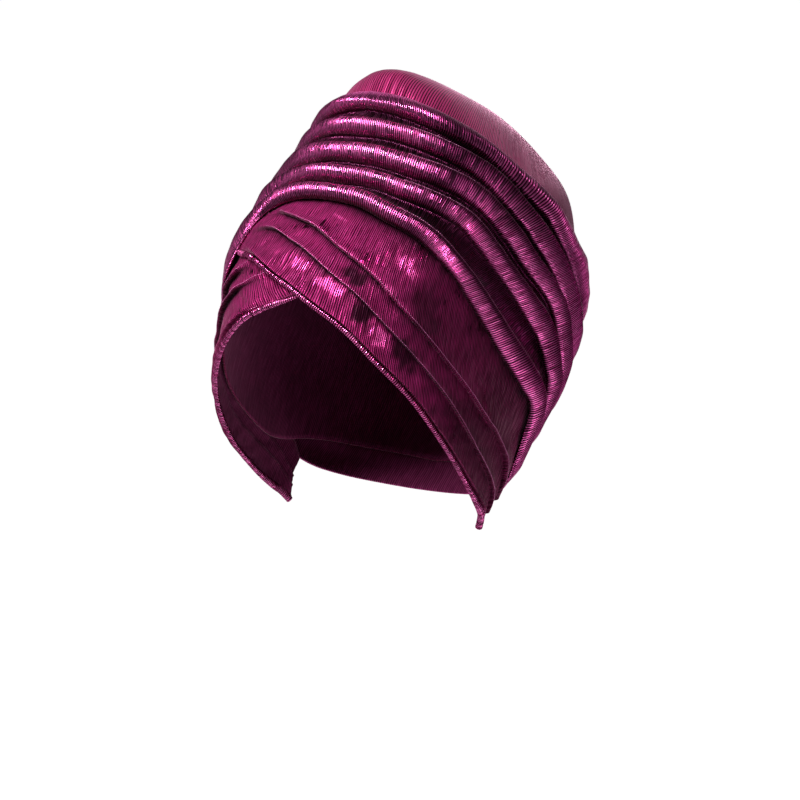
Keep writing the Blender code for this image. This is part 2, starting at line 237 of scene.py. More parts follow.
def lameCloth(name, look):
    look = {**lameLook, **look}
    material = bpy.data.materials.new(name)
    material.use_nodes = True
    tree = material.node_tree
    shader = tree.nodes["Principled BSDF"]
    uv = node(tree, "ShaderNodeUVMap", {"uv_map": "cloth"})
    split = node(tree, "ShaderNodeSeparateXYZ", links={0: uv.outputs[0]})
    along = node(tree, "ShaderNodeMath", {"operation": "MULTIPLY", 1: 1000}, {0: split.outputs["X"]})
    across = node(tree, "ShaderNodeMath", {"operation": "MULTIPLY", 1: 1000}, {0: split.outputs["Y"]})

    def noiseAt(source, sizeAlong, sizeAcross, detail):
        u = node(tree, "ShaderNodeMath", {"operation": "DIVIDE", 1: sizeAlong}, {0: source})
        v = node(tree, "ShaderNodeMath", {"operation": "DIVIDE", 1: sizeAcross}, {0: across.outputs[0]})
        place = node(tree, "ShaderNodeCombineXYZ", links={"X": u.outputs[0], "Y": v.outputs[0]})
        made = node(
            tree,
            "ShaderNodeTexNoise",
            {"noise_dimensions": "2D", "Scale": 1.0, "Detail": detail, "Roughness": 0.55},
            {"Vector": place.outputs[0]},
        )
        return made.outputs["Fac"]

    wander = noiseAt(along.outputs[0], 14.0, 45.0, 1.0)
    stray = node(
        tree, "ShaderNodeMath", {"operation": "MULTIPLY_ADD", 1: 2 * look["pleatWander"]}, {0: wander, 2: along.outputs[0]}
    )
    turns = node(
        tree, "ShaderNodeMath", {"operation": "MULTIPLY", 1: 2 * math.pi / look["pleatPitch"]}, {0: stray.outputs[0]}
    )
    wave = node(tree, "ShaderNodeMath", {"operation": "SINE"}, {0: turns.outputs[0]})
    pleats = node(tree, "ShaderNodeMath", {"operation": "MULTIPLY_ADD", 1: 0.28, 2: 0.42}, {0: wave.outputs[0]})
    streaks = noiseAt(stray.outputs[0], look["streakWidth"], look["streakLength"], 1.0)
    height = node(
        tree, "ShaderNodeMath", {"operation": "MULTIPLY_ADD", 1: 0.5}, {0: streaks, 2: pleats.outputs[0]}
    )
    crinkle = noiseAt(along.outputs[0], look["crinkleSize"], look["crinkleSize"] * 0.7, 2.0)
    grain = noiseAt(along.outputs[0], 0.45, 0.45, 2.0)

    # painted shade and light across the fine pleats: the grooves painted darkest, the crests painted lighter than the
    # face
    colour = node(tree, "ShaderNodeValToRGB", links={0: height.outputs[0]})
    ramp = colour.color_ramp
    ramp.elements[0].position, ramp.elements[0].color = 0.46, linear(look["groove"])
    ramp.elements[1].position, ramp.elements[1].color = 0.95, linear(look["paintedCrestLight"])
    ramp.elements.new(0.66).color = linear(look["face"])
    cloudy = noiseAt(along.outputs[0], 31.0, 24.0, 3.0)
    cloud = node(
        tree, "ShaderNodeMapRange", {"From Min": 0.3, "From Max": 0.7, "To Min": 0.85, "To Max": 1.12}, {"Value": cloudy}
    )
    foil = noiseAt(along.outputs[0], look["foilSize"], look["foilSize"] * 0.8, 3.0)
    torn = node(tree, "ShaderNodeMath", {"operation": "MULTIPLY_ADD", 1: 0.35}, {0: streaks, 2: foil})
    edge = 0.675 + 0.3 * (0.5 - look["foilCover"])  # the noise lies about 0.675, more cover moves the edge down
    whole = node(
        tree,
        "ShaderNodeMapRange",
        {"From Min": edge - 0.06, "From Max": edge + 0.06, "To Min": 0.0, "To Max": 1.0},
        {"Value": torn.outputs[0]},
    )

    if look["mattEdge"]:
        inward = node(
            tree,
            "ShaderNodeMapRange",
            {"From Min": 0.3 * look["mattEdge"], "From Max": look["mattEdge"]},
            {"Value": across.outputs[0]},
        )
        whole = node(tree, "ShaderNodeMath", {"operation": "MULTIPLY"}, {0: whole.outputs[0], 1: inward.outputs[0]})
        # painted light: the worn cloth near the upper edge is painted lighter
        lighter = node(
            tree, "ShaderNodeMapRange", {"To Min": look["edgePaintedLight"], "To Max": 1.0}, {"Value": inward.outputs[0]}
        )
        cloud = node(tree, "ShaderNodeMath", {"operation": "MULTIPLY"}, {0: cloud.outputs[0], 1: lighter.outputs[0]})

    # the sheet's painted shading scales the colour: below 1 it is painted shade, up to 1.2 painted light; where it runs
    # highest a painted highlight patch is marked and its foil made whole
    if look["readsPaintedShading"]:
        kept = node(tree, "ShaderNodeAttribute", {"attribute_name": "paintedShadeAndLight"})
        least = node(tree, "ShaderNodeMath", {"operation": "MINIMUM", 1: 1.2}, {0: kept.outputs["Fac"]})
        cloud = node(tree, "ShaderNodeMath", {"operation": "MULTIPLY"}, {0: cloud.outputs[0], 1: least.outputs[0]})
        ragged = node(tree, "ShaderNodeMath", {"operation": "ADD"}, {0: kept.outputs["Fac"], 1: streaks})
        paintedHighlight = node(tree, "ShaderNodeMapRange", {"From Min": 1.85, "From Max": 2.15}, {"Value": ragged.outputs[0]})
        soft = node(tree, "ShaderNodeMath", {"operation": "MULTIPLY", 1: look["flashFoil"]}, {0: paintedHighlight.outputs[0]})
        whole = node(tree, "ShaderNodeMath", {"operation": "MAXIMUM"}, {0: whole.outputs[0], 1: soft.outputs[0]})

    # a value that runs from the matt cloth's to the whole foil's
    def between(matt, mirror):
        made = node(tree, "ShaderNodeMapRange", {"To Min": matt, "To Max": mirror}, {"Value": whole.outputs[0]})
        return made.outputs[0]

    depth = node(
        tree, "ShaderNodeMath", {"operation": "MULTIPLY"}, {0: cloud.outputs[0], 1: between(look["mattTone"], look["foilTone"])}
    )
    tone = node(
        tree,
        "ShaderNodeVectorMath",
        {"operation": "SCALE"},
        {0: colour.outputs["Color"], "Scale": depth.outputs[0]},
    )
    paint = tone.outputs[0]
    # painted highlight: the highlight colour is laid on the pleat faces of those patches
    if look["readsPaintedShading"]:
        stroke = node(
            tree, "ShaderNodeMapRange", {"From Min": 0.56, "From Max": 0.72}, {"Value": height.outputs[0]}
        )
        part = node(tree, "ShaderNodeMath", {"operation": "MULTIPLY"}, {0: paintedHighlight.outputs[0], 1: stroke.outputs[0]})
        flashed = node(
            tree, "ShaderNodeMix", {"data_type": "RGBA"}, {"Factor": part.outputs[0], 6: tone.outputs[0]}
        )
        flashed.inputs[7].default_value = linear(look["paintedHighlight"])
        paint = flashed.outputs[2]
    tree.links.new(paint, shader.inputs["Base Color"])
    tree.links.new(between(look["mattMetal"], 1.0), shader.inputs["Metallic"])
    rough = node(
        tree,
        "ShaderNodeMapRange",
        {"From Min": 0.38, "From Max": 0.62, "To Min": 2.0, "To Max": 0.7},
        {"Value": streaks},
    )
    gloss = node(
        tree,
        "ShaderNodeMath",
        {"operation": "MULTIPLY"},
        {0: rough.outputs[0], 1: between(look["mattRough"], look["foilRough"])},
    )
    tree.links.new(gloss.outputs[0], shader.inputs["Roughness"])
    shader.inputs["Specular IOR Level"].default_value = 0.25
    shader.inputs["Specular Tint"].default_value = linear("#c890b0")
    shader.inputs["Sheen Weight"].default_value = look["sheen"]
    shader.inputs["Sheen Roughness"].default_value = 0.35
    shader.inputs["Sheen Tint"].default_value = linear("#f0b4d0")

    bumpDents = node(
        tree, "ShaderNodeBump", {"Strength": 1.0, "Distance": look["crinkleDepth"] * mm}, {"Height": crinkle}
    )
    bumpPleats = node(
        tree,
        "ShaderNodeBump",
        {"Strength": 1.0, "Distance": look["pleatDepth"] * mm},
        {"Height": height.outputs[0], "Normal": bumpDents.outputs[0]},
    )
    bumpGrain = node(
        tree,
        "ShaderNodeBump",
        {"Strength": 1.0, "Distance": look["grainDepth"] * mm},
        {"Height": grain, "Normal": bumpPleats.outputs[0]},
    )
    tree.links.new(bumpGrain.outputs[0], shader.inputs["Normal"])
    return material


def threadMaterial(name, code, roughness):
    material = bpy.data.materials.new(name)
    material.use_nodes = True
    tree = material.node_tree
    shader = tree.nodes["Principled BSDF"]
    place = node(tree, "ShaderNodeTexCoord")
    fuzz = node(
        tree, "ShaderNodeTexNoise", {"Scale": 1 / (0.8 * mm), "Detail": 2.0}, {"Vector": place.outputs["Object"]}
    )
    tone = node(tree, "ShaderNodeValToRGB", links={0: fuzz.outputs["Fac"]})
    tone.color_ramp.elements[0].color = tuple(0.45 * c for c in linear(code)[:3]) + (1,)
    tone.color_ramp.elements[1].color = linear(code)
    tree.links.new(tone.outputs["Color"], shader.inputs["Base Color"])
    shader.inputs["Metallic"].default_value = 0.8
    shader.inputs["Roughness"].default_value = roughness
    return material


materials = {
    "crown": lameCloth(
        "crystalPleatedLameCrown",
        {"pleatPitch": 1.5, "groove": "#2c0418", "face": "#b42868", "paintedCrestLight": "#cc4080", "foilCover": -1.0, "mattRough": 0.50, "mattTone": 0.62,
         "mattMetal": 0.45, "sheen": 1.0, "pleatDepth": 0.20, "crinkleDepth": 0.20, "streakLength": 40.0},
    ),
    "folds": lameCloth(
        "crystalPleatedLameFolds",
        {"groove": "#240612", "face": "#a82c70", "paintedCrestLight": "#ec78bc", "foilCover": 1.3, "mattEdge": 11.0, "edgePaintedLight": 1.3,
         "mattMetal": 0.20, "mattTone": 0.8, "sheen": 0.12, "foilRough": 0.26, "foilTone": 1.05,
         "crinkleDepth": 0.30, "readsPaintedShading": True},
    ),
    "band": lameCloth(
        "crystalPleatedLameBand",
        {"groove": "#1c040e", "face": "#8c1650", "paintedCrestLight": "#a82c70", "foilCover": -0.2, "foilTone": 0.82,
         "mattTone": 0.78, "mattRough": 0.52, "mattMetal": 0.40, "sheen": 0.15, "crinkleDepth": 1.0, "crinkleSize": 17.0, "readsPaintedShading": True},
    ),
    "lining": lameCloth(
        "knittedBackOfLame",
        {"groove": "#4a1430", "face": "#84285a", "paintedCrestLight": "#9c3c6e", "foilCover": -1.0, "mattRough": 0.85,
         "mattMetal": 0.1, "sheen": 0.3, "pleatDepth": 0.12, "crinkleDepth": 0.10},
    ),
    "hem": lameCloth(
        "rolledLameHem",
        {"groove": "#2c0618", "face": "#a82868", "paintedCrestLight": "#f080c0", "foilCover": 0.8, "pleatDepth": 0.30},
    ),
    "thread": threadMaterial("metallicSewingThread", "#e080b8", 0.38),
}


# meshes


# grid of points (columns, rows) with a cloth map in real metres, as a smooth mesh object
def sheetObject(name, points, along, across, material, closed=False, flip=False):
    columns, rows = points.shape[:2]
    index = np.arange(columns * rows).reshape(columns, rows)
    if closed:
        points = points[:-1]
        index = index % ((columns - 1) * rows)
    corners = np.stack([index[:-1, :-1], index[:-1, 1:], index[1:, 1:], index[1:, :-1]], -1).reshape(-1, 4)
    spots = np.stack([along, across], -1)
    maps = np.stack([spots[:-1, :-1], spots[:-1, 1:], spots[1:, 1:], spots[1:, :-1]], -2).reshape(-1, 4, 2)
    if flip:
        corners, maps = corners[:, ::-1], maps[:, ::-1]
    mesh = bpy.data.meshes.new(name)
    mesh.from_pydata(points.reshape(-1, 3).tolist(), [], corners.tolist())
    layer = mesh.uv_layers.new(name="cloth")
    layer.data.foreach_set("uv", maps.reshape(-1).astype(np.float32))
    mesh.shade_smooth()
    mesh.materials.append(material)
    made = bpy.data.objects.new(name, mesh)
    bpy.context.scene.collection.objects.link(made)
    return made


def addWall(piece, thickness):
    piece.data.materials.append(materials["lining"])
    wall = piece.modifiers.new("wall", "SOLIDIFY")
    wall.thickness = thickness
    wall.offset = -1
    wall.use_rim = True
    wall.material_offset = 1


# painted shade and light at each point of a sheet: below 1 darkens its colour, above 1 lightens it
def paintShadeAndLight(piece, kept):
    layer = piece.data.attributes.new("paintedShadeAndLight", "FLOAT", "POINT")
    layer.data.foreach_set("value", kept.reshape(-1).astype(np.float32))


# running length down each column or along each row of a grid of points
def runningLength(points, axis):
    steps = np.linalg.norm(np.diff(points, axis=axis), axis=-1)
    start = np.zeros_like(np.take(steps, [0], axis))
    return np.concatenate([start, np.cumsum(steps, axis)], axis)


# crown: smooth cap, pleats fanned from the folds to a place at the back of the top
crownLook = {
    "columns": 300,
    "rows": 150,
    "rimSetback": 9 * mm,
    "fanCentre": (0, 40 * mm, 60 * mm),
    "fanTilt": 35,  # degrees back from upright
    "fanRadius": 100 * mm,
}
rim = table(
    "angle height",
    [
        (0, 0.60), (22, 0.54), (38, 0.455), (56, 0.315), (72, 0.21), (90, 0.12), (112, 0.10),
        (145, 0.075), (180, 0.06),
    ],
)


def makeCrown():
    columns, rows = crownLook["columns"], crownLook["rows"]
    angle = np.linspace(-180, 180, columns + 1)[:, None] * np.ones((1, rows))
    down = np.linspace(0, 1, rows)[None, :] ** 1.15
    last = len(levels["height"]) - 1
    setback = crownLook["rimSetback"] / (bodyForm["napeDrop"] + bodyForm["crownRise"])
    rimHeight = read(rim, "height", "angle", np.abs(angle)) + setback
    place = last - (last - levelOf(rimHeight)) * down
    points = bodyPoint(angle, place)
    tilt = math.radians(crownLook["fanTilt"])
    pole = np.array([0, math.sin(tilt), math.cos(tilt)])
    level = np.array([0, -math.cos(tilt), math.sin(tilt)])
    arm = points - np.array(crownLook["fanCentre"])
    arm /= np.linalg.norm(arm, axis=-1, keepdims=True)
    turn = np.arctan2(arm[..., 0], arm @ level)
    lean = np.arccos(np.clip(arm @ pole, -1, 1))
    along = turn * crownLook["fanRadius"]
    across = lean * crownLook["fanRadius"]
    made = sheetObject("crown_cloth", points, along, across, materials["crown"], closed=True)
    fixSeam(made, 2 * math.pi * crownLook["fanRadius"])
    mergeDoubles(made)
    addWall(made, lay["cloth"])
    return made


# a face that spans the map's start and end gets its far corners moved on by one turn
def fixSeam(piece, turn):
    layer = piece.data.uv_layers["cloth"]
    spots = np.zeros(len(layer.data) * 2, np.float32)
    layer.data.foreach_get("uv", spots)
    spots = spots.reshape(-1, 4, 2)
    highest = spots[..., 0].max(1, keepdims=True)
    spots[..., 0] += np.where(highest - spots[..., 0] > turn / 2, turn, 0)
    layer.data.foreach_set("uv", spots.reshape(-1))


def mergeDoubles(piece):
    shape = bmesh.new()
    shape.from_mesh(piece.data)
    bmesh.ops.remove_doubles(shape, verts=shape.verts, dist=0.01 * mm)
    shape.to_mesh(piece.data)
    shape.free()


# drape: one long sheet laid round the head in five rolled folds
drapeLook = {
    "columns": 614,
    "rowsPerStep": 2.0,
    "topSink": 1.0 * mm,  # how far the upper edge lies in the crown, so the first fold grows out of it
    "unevenRise": 0.5 * mm,
    "creaseRows": (10, 18, 26, 34),  # control rows along the tops of the lower four folds
    "creaseSides": (32, 118),  # degrees from the brow between which a crease shows
}
topLine = table(
    "angle height",
    [
        (0, 0.955), (20, 0.951), (40, 0.938), (60, 0.905), (80, 0.845), (102, 0.712),
        (116, 0.633), (131, 0.576), (143, 0.523), (152, 0.477), (162, 0.447), (180, 0.430),
    ],
)
drape = table(
    "topAngle lowAngle lowHeight swell",
    [
        (1.5, 4, 0.722, 1.0), (20, 17, 0.712, 1.0), (40, 29, 0.686, 1.0), (60, 40, 0.659, 1.0),
        (80, 49, 0.625, 1.0), (102, 58, 0.576, 1.0), (116, 66, 0.508, 1.0), (129, 76, 0.417, 1.0),
        (138, 87, 0.333, 1.0), (145, 95, 0.273, 0.9), (150, 99.5, 0.197, 0.6), (155, 104, 0.129, 0.4),
        (160, 117, 0.085, 0.25), (167, 136, 0.060, 0.2), (173, 158, 0.045, 0.15), (180, 180, 0.040, 0.15),
        (187, 202, 0.045, 0.15), (193, 224, 0.058, 0.2), (200, 243, 0.080, 0.25), (205, 257, 0.115, 0.3),
        (210, 263, 0.165, 0.45), (215, 271, 0.220, 0.5), (222, 284, 0.280, 0.4), (231, 300, 0.385, 0.3),
        (244, 313, 0.490, 0.10), (259, 323, 0.570, 0.45), (281, 329, 0.640, 0.6), (302, 335, 0.680, 0.7),
        (323, 343, 0.705, 0.85), (343, 353, 0.720, 1.0),
    ],
)
grooves = table(
    "topAngle first second third fourth",
    [
        (0, 0.18, 0.42, 0.65, 0.83),
        (40, 0.21, 0.41, 0.63, 0.80),
        (102, 0.22, 0.40, 0.57, 0.75),
        (129, 0.31, 0.48, 0.60, 0.76),
        (145, 0.37, 0.58, 0.71, 0.84),
        (180, 0.25, 0.45, 0.64, 0.82),
    ],
)
# across a fold: share of its width, rise, and the painted shading there: painted shade in the hollow, under the roll
# and on the side folds' upper faces, painted light on the crest
firstRoll = [
    (0.00, 0.00, 1.0), (0.12, 0.22, 1.0), (0.32, 0.58, 1.0), (0.56, 0.88, 1.1), (0.80, 0.94, 1.1), (0.99, 0.62, 0.6),
    (1.03, 0.22, 0.2),
]
frontRoll = [
    (0.00, 0.00, 0.2), (0.14, 0.02, 0.2), (0.30, 0.30, 0.5), (0.42, 0.76, 1.0), (0.58, 0.98, 1.2), (0.80, 0.92, 1.1),
    (0.97, 0.58, 0.6), (1.02, 0.18, 0.2),
]
sideRoll = [
    (0.00, 0.00, 0.20), (0.14, 0.00, 0.16), (0.30, 0.22, 0.12), (0.40, 0.78, 0.12), (0.54, 1.00, 0.16),
    (0.78, 0.74, 0.8), (0.98, 0.42, 1.0), (1.02, 0.10, 0.12),
]
rollTurn = (35, 85)  # degrees from the brow between which the front's form goes over to the sides'
rollFoot = 0.30  # where the roll rises out of its hollow
bendPaintedShade = 0.60  # painted shade: share by which the colour is darkened where the folds bend round from the front to the sides
# how much of each fold's width its hollow takes; the lowest one opens widest over the wearer's ears
hollows = table(
    "topAngle second third fourth fifth",
    [
        (0, 0.36, 0.34, 0.34, 0.30),
        (40, 0.34, 0.34, 0.36, 0.40),
        (80, 0.30, 0.32, 0.38, 0.56),
        (116, 0.28, 0.30, 0.38, 0.58),
        (145, 0.28, 0.28, 0.34, 0.46),
        (180, 0.30, 0.30, 0.30, 0.30),
    ],
)


def drapeColumn(name, place):
    count = len(drape[name])
    if not name.endswith("Angle"):
        return smooth(drape[name], place, closed=True)
    turned = 360 * np.arange(count) / count
    return smooth(drape[name] - turned, place, closed=True) + 360 * place / count


def sideOf(angle):
    return (np.asarray(angle) + 180) % 360 - 180


# layers of band under the drape's lower edge, fading out past the bands' ends
def layersUnder(angle):
    side = sideOf(angle)
    under = 0 * side
    for band, turn in ((leftBand, side), (rightBand, -side)):
        ends = band["topAngle"] if band is leftBand else -band["topAngle"]
        stops = np.concatenate([ends[0] - np.array(lay["lipFade"]), ends, [ends[-1] + lay["lipFade"][0]]])
        layers = np.concatenate([[0, 1 + band["layers"][0]], 1 + band["layers"], [0]])
        under = np.maximum(under, np.interp(turn, stops, layers, left=0, right=0))
    return under


# control rows across the drape at places along it, as angle, height and lift
def drapeControls(place):
    topAngle, lowAngle = drapeColumn("topAngle", place), drapeColumn("lowAngle", place)
    side = np.abs(sideOf(topAngle))
    topHeight = read(topLine, "height", "angle", side)
    lowHeight = drapeColumn("lowHeight", place)
    between = [read(grooves, name, "topAngle", side) for name in ("first", "second", "third", "fourth")]
    shares = [0 * place, *between, 0 * place + 1]
    span = bodyPoint(lowAngle, levelOf(lowHeight)) - bodyPoint(topAngle, levelOf(topHeight))
    length = np.linalg.norm(span, axis=-1)
    swell = drapeColumn("swell", place)
    sideways = np.clip((side - rollTurn[0]) / (rollTurn[1] - rollTurn[0]), 0, 1)
    sideways = sideways * sideways * (3 - 2 * sideways)
    # painted shade: the colour is darkened where the folds bend round from the front to the sides
    bend = 1 - bendPaintedShade * 4 * sideways * (1 - sideways)
    lip = layersUnder(lowAngle) * (lay["cloth"] + lay["gap"])
    rows = []
    for fold in range(5):
        front, sides = (firstRoll, firstRoll) if fold == 0 else (frontRoll, sideRoll)
        start, width = shares[fold], shares[fold + 1] - shares[fold]
        fullness = foldFullness(width * length, swell)
        hollow = rollFoot if fold == 0 else read(hollows, ("second", "third", "fourth", "fifth")[fold - 1], "topAngle", side)
        for index in range(len(front)):
            across, rise, kept = (a + (b - a) * sideways for a, b in zip(front[index], sides[index]))
            beyond = np.maximum(across - rollFoot, 0) / (1 - rollFoot)
            across = np.minimum(across / rollFoot, 1) * hollow + beyond * (1 - hollow)
            even = index / len(front)
            across = even + (across - even) * fullness
            base = outerLift(0) if (fold, index) != (0, 0) else -drapeLook["topSink"]
            lift = base + lay["foldRise"] * rise * fullness + (lip * across if fold == 4 else 0)
            rows.append((start + width * across, lift, 1 + (kept * bend - 1) * fullness))
    rows.append((shares[5], outerLift(0) + lip, 1))
    share = np.stack([row[0] for row in rows], 1)
    lift = np.stack([row[1] + 0 * place for row in rows], 1)
    kept = np.stack([row[2] + 0 * place for row in rows], 1)
    angle = topAngle[:, None] + (lowAngle - topAngle)[:, None] * share
    height = topHeight[:, None] + (lowHeight - topHeight)[:, None] * share
    return angle, height, lift, share, kept


# control rows resampled by a smooth curve, so rolls are round
def fineRows(grid, count):
    places = np.linspace(0, grid.shape[1] - 1, count)
    return smooth(grid.T, places).T


def makeDrape():
    count = len(drape["swell"])
    columns = drapeLook["columns"]
    place = count / 2 + np.linspace(0, count, columns + 1)  # the seam lies at the nape
    grids = drapeControls(place)
    controlCount = grids[0].shape[1]
    rowCount = round((controlCount - 1) * drapeLook["rowsPerStep"]) + 1
    angle, height, lift, share, kept = (fineRows(grid, rowCount) for grid in grids)
    points = lifted(angle, levelOf(height), lift)
    across = runningLength(points, 1)
    along = runningLength(points, 0)
    middle = along[:, rowCount // 2][:, None]
    turn = middle / middle[-1]
    waves = unevenness(turn * 7, share * 2.3, 5) + 0.6 * unevenness(turn * 19, share * 5, 6)
    waves = waves * (1 - turn) + (unevenness((turn - 1) * 7, share * 2.3, 5) + 0.6 * unevenness((turn - 1) * 19, share * 5, 6)) * turn
    edge = np.clip(np.minimum(share, 1 - share) * 8, 0, 1)
    points = lifted(angle, levelOf(height), lift + drapeLook["unevenRise"] * waves * edge)
    alongMap = middle + 0 * across
    creases = []
    for rowOf in drapeLook["creaseRows"]:
        row = round(rowOf * (rowCount - 1) / (controlCount - 1))
        turned = sideOf(angle[:, row])
        for side in (-1, 1):
            shown = (side * turned > drapeLook["creaseSides"][0]) & (side * turned < drapeLook["creaseSides"][1])
            creases.append(points[shown, row])
    made = sheetObject("drape_folds", points, alongMap, across, materials["folds"], closed=True)
    paintShadeAndLight(made, kept[:-1])
    addWall(made, lay["cloth"])
    return made, creases


# the two bands that cross at the brow: upper line, hem line, two pleat edges between as shares
# of the way down, how full the pleats are and how many layers of band lie under this one
bandColumns = "topAngle topHeight hemAngle hemHeight pleatOne pleatTwo swell layers"
leftBand = table(
    bandColumns,
    [
        (-33, 0.676, -36, 0.606, 0.10, 0.50, 0.00, 1.5),
        (-24, 0.690, -30, 0.607, 0.08, 0.48, 0.20, 1.5),
        (-8, 0.720, -17, 0.602, 0.26, 0.52, 0.90, 1.4),
        (8, 0.723, -4, 0.576, 0.36, 0.60, 1.00, 1.2),
        (22, 0.701, 8, 0.540, 0.42, 0.64, 1.00, 1.0),
        (36, 0.670, 22, 0.487, 0.45, 0.67, 1.00, 0.6),
        (49, 0.627, 34, 0.417, 0.50, 0.71, 1.00, 0.2),
        (60, 0.561, 45, 0.348, 0.53, 0.73, 1.00, 0.0),
        (70, 0.477, 56, 0.267, 0.52, 0.73, 1.00, 0.0),
        (80, 0.386, 66, 0.197, 0.50, 0.73, 1.00, 0.0),
        (91, 0.305, 74, 0.140, 0.45, 0.72, 1.00, 0.0),
        (97.5, 0.235, 82, 0.091, 0.42, 0.71, 0.90, 0.0),
        (102, 0.159, 89, 0.057, 0.40, 0.70, 0.70, 0.0),
        (106, 0.102, 97, 0.015, 0.38, 0.70, 0.50, 0.0),
    ],
)
rightBand = table(
    bandColumns,
    [
        (4, 0.667, 16, 0.576, 0.30, 0.62, 0.00, 0.0),
        (-12, 0.659, 6.5, 0.547, 0.34, 0.62, 0.00, 0.0),
        (-26, 0.636, -6, 0.515, 0.35, 0.60, 0.30, 0.0),
        (-37, 0.583, -18, 0.479, 0.28, 0.53, 1.00, 0.0),
        (-46, 0.515, -31, 0.415, 0.21, 0.49, 0.75, 0.0),
        (-55, 0.439, -42, 0.341, 0.22, 0.49, 0.70, 0.0),
        (-65, 0.356, -52, 0.258, 0.24, 0.50, 0.80, 0.0),
        (-77, 0.273, -63, 0.174, 0.26, 0.52, 1.00, 0.0),
        (-90, 0.205, -76, 0.102, 0.28, 0.54, 0.90, 0.0),
        (-99, 0.136, -87, 0.053, 0.30, 0.56, 0.70, 0.0),
        (-105, 0.083, -97, 0.015, 0.32, 0.60, 0.50, 0.0),
    ],
)
# across a pleat: share, rise and painted shading; it swells towards its lower edge, which is a round crease over a dark
# wedge, with painted shade where it tucks under and in the wedge and painted light on the crease
pleat = [
    (0.00, 0.00, 0.1), (0.18, 0.18, 0.7), (0.40, 0.38, 1.0), (0.62, 0.58, 1.0), (0.80, 0.80, 1.0), (0.92, 1.10, 1.1),
    (0.985, 1.18, 1.3), (1.015, 0.86, 0.5), (1.010, 0.45, 0.1),
]
# patches of the left band, in mm: above 1.5 a painted highlight laid on whole foil, below 1 painted shade
paintedHighlightAndShadePatches = table(
    "along across halfLength halfWidth kept",
    [
        (172, 40, 46, 36, 0.55),
        (215, 40, 50, 36, 0.75),
        (128, 68, 10, 8, 0.15),
        (139, 34, 12, 12, 0.3),
        (97, 69, 8, 6, 0.12),
        (88, 48, 8, 5, 0.15),
        (52, 60, 8, 4.2, 1.58),
        (74, 63.5, 10, 4.4, 1.72),
        (64, 15.5, 7, 1.6, 1.65),
        (118.5, 21.5, 8, 6, 1.58),
        (112, 42.5, 7.5, 4.2, 1.58),
        (109.5, 73, 7.5, 6, 1.58),
    ],
)
bandLook = {
    "columns": 460,
    "rowsPerStep": 2.3,
    "unevenRise": 0.45 * mm,
    "creaseRows": (7, 16),  # control rows where a pleat turns over its own edge
}


def bandLines(band, place):
    top = (smooth(band["topAngle"], place), smooth(band["topHeight"], place))
    hem = (smooth(band["hemAngle"], place), smooth(band["hemHeight"], place))
    span = bodyPoint(hem[0], levelOf(hem[1])) - bodyPoint(top[0], levelOf(top[1]))
    return top, hem, np.linalg.norm(span, axis=-1)


def bandControls(band, place):
    top, hem, length = bandLines(band, place)
    first, second = smooth(band["pleatOne"], place), smooth(band["pleatTwo"], place)
    swell, layers = smooth(band["swell"], place), smooth(band["layers"], place)
    end = 1 - (lay["hemDiameter"] / 2 + lay["hemGap"]) / length
    edges = [0 * place, first, second, end]
    # the tuck under the drape's edge starts with dark painted shade
    rows = [(-lay["tuck"] / length, 0 * place, 0.1)]
    for upper, lower in zip(edges[:-1], edges[1:]):
        fullness = foldFullness((lower - upper) * length, swell)
        for index, (across, rise, kept) in enumerate(pleat):
            even = index / len(pleat)
            across = even + (across - even) * fullness
            rows.append((upper + (lower - upper) * across, lay["pleatRise"] * rise * fullness, 1 + (kept - 1) * fullness))
    rows[-2] = (end - 0.4 * mm / length, lay["pleatRise"] * 0.55 * swell, 1)
    rows[-1] = (end, lay["pleatRise"] * 0.35 * swell, 1)
    share = np.stack([row[0] for row in rows], 1)
    lift = np.stack([row[1] for row in rows], 1) + outerLift(layers)[:, None]
    kept = np.stack([row[2] + 0 * place for row in rows], 1)
    angle = top[0][:, None] + (hem[0] - top[0])[:, None] * share
    height = top[1][:, None] + (hem[1] - top[1])[:, None] * share
    return angle, height, lift, share, kept


def makeBand(name, band, seed, lean, patches=None):
    place = np.linspace(0, len(band["swell"]) - 1, bandLook["columns"])
    grids = bandControls(band, place)
    controlCount = grids[0].shape[1]
    rowCount = round((controlCount - 1) * bandLook["rowsPerStep"]) + 1
    angle, height, lift, share, kept = (fineRows(grid, rowCount) for grid in grids)
    points = lifted(angle, levelOf(height), lift)
    along, across = runningLength(points, 0), runningLength(points, 1)
    waves = unevenness(along / 0.045, across / 0.03, seed) + 0.5 * unevenness(along / 0.017, across / 0.012, seed + 1)
    points = lifted(angle, levelOf(height), lift + bandLook["unevenRise"] * waves * np.clip((1 - share) * 10, 0, 1))
    middle = along[:, rowCount // 2][:, None]
    leftward = band["topAngle"][-1] > band["topAngle"][0]
    creases = [points[:, round(rowOf * (rowCount - 1) / (controlCount - 1))] for rowOf in bandLook["creaseRows"]]
    alongMap = middle - lean * across
    # lay the painted highlight and painted shade patches over the painted shading
    for index in range(len(patches["kept"]) if patches else 0):
        row = {column: values[index] for column, values in patches.items()}
        far = np.hypot((alongMap / mm - row["along"]) / row["halfLength"], (across / mm - row["across"]) / row["halfWidth"])
        ragged = far + 0.3 * unevenness(alongMap / 0.012, across / 0.009, seed + 3 + index)
        kept = kept + (row["kept"] - kept) * np.clip((1.25 - ragged) / 0.5, 0, 1)
    made = sheetObject(name, points, alongMap, across, materials["band"], flip=not leftward)
    paintShadeAndLight(made, kept)
    addWall(made, lay["cloth"])
    return made, creases


# Geometry Nodes


def lineObject(name, strands):
    mesh = bpy.data.meshes.new(name)
    points, edges = [], []
    for strand in strands:
        edges += [(len(points) + i, len(points) + i + 1) for i in range(len(strand) - 1)]
        points += strand.tolist()
    mesh.from_pydata(points, edges, [])
    made = bpy.data.objects.new(name, mesh)
    bpy.context.scene.collection.objects.link(made)
    return made


